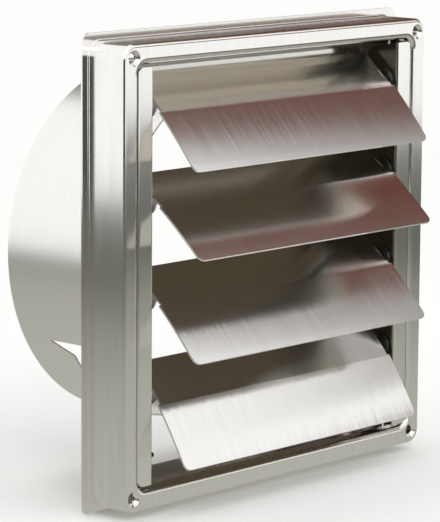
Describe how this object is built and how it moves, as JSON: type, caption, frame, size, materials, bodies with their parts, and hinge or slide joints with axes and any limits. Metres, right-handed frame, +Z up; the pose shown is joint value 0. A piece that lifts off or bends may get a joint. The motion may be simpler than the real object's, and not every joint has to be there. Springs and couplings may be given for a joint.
{
  "type": "backdraft vent grille",
  "caption": "Square wall vent grille in satin stainless steel with free-swinging backdraft flaps on side pivots and a round duct spigot behind.",
  "frame": {"origin": "centre of the wall plane behind the rim, on the spigot axis", "axes": "+Z up, -Y out of the front of the grille, +Y along the spigot into the wall, +X to the right seen from the front"},
  "size_m": [0.19, 0.1043, 0.19],
  "materials": {
    "stainless_steel": "satin brushed",
    "black_plastic": "moulded, slightly glossy"
  },
  "bodies": {
    "casing": {"cover": "stainless_steel", "left_bracket": "stainless_steel", "right_bracket": "stainless_steel", "top_rail": "stainless_steel", "bottom_rail": "stainless_steel", "spigot": "stainless_steel", "bush_1_left": "black_plastic", "bush_1_right": "black_plastic", "bush_2_left": "black_plastic", "bush_2_right": "black_plastic", "bush_3_left": "black_plastic", "bush_3_right": "black_plastic", "bush_4_left": "black_plastic", "bush_4_right": "black_plastic", "stop_peg_left": "black_plastic", "stop_peg_right": "black_plastic"},
    "flap_1_assembly": {"flap_1": "stainless_steel", "pivot_pin_1_left": "stainless_steel", "pivot_pin_1_right": "stainless_steel"},
    "flap_2_assembly": {"flap_2": "stainless_steel", "pivot_pin_2_left": "stainless_steel", "pivot_pin_2_right": "stainless_steel"},
    "flap_3_assembly": {"flap_3": "stainless_steel", "pivot_pin_3_left": "stainless_steel", "pivot_pin_3_right": "stainless_steel"},
    "flap_4_assembly": {"flap_4": "stainless_steel", "pivot_pin_4_left": "stainless_steel", "pivot_pin_4_right": "stainless_steel"}
  },
  "joints": [
    {"name": "flap_1_hinge", "type": "hinge", "parent": "casing", "child": "flap_1_assembly", "pos_m": [0, -0.0117, 0.066], "axis": [-1, 0, 0], "range_deg": [-41, 14]},
    {"name": "flap_2_hinge", "type": "hinge", "parent": "casing", "child": "flap_2_assembly", "pos_m": [0, -0.0117, 0.028], "axis": [-1, 0, 0], "range_deg": [-48.8, 6.2]},
    {"name": "flap_3_hinge", "type": "hinge", "parent": "casing", "child": "flap_3_assembly", "pos_m": [0, -0.0117, -0.01], "axis": [-1, 0, 0], "range_deg": [-43, 12]},
    {"name": "flap_4_hinge", "type": "hinge", "parent": "casing", "child": "flap_4_assembly", "pos_m": [0, -0.0117, -0.048], "axis": [-1, 0, 0], "range_deg": [-31.8, 23.2]}
  ]
}
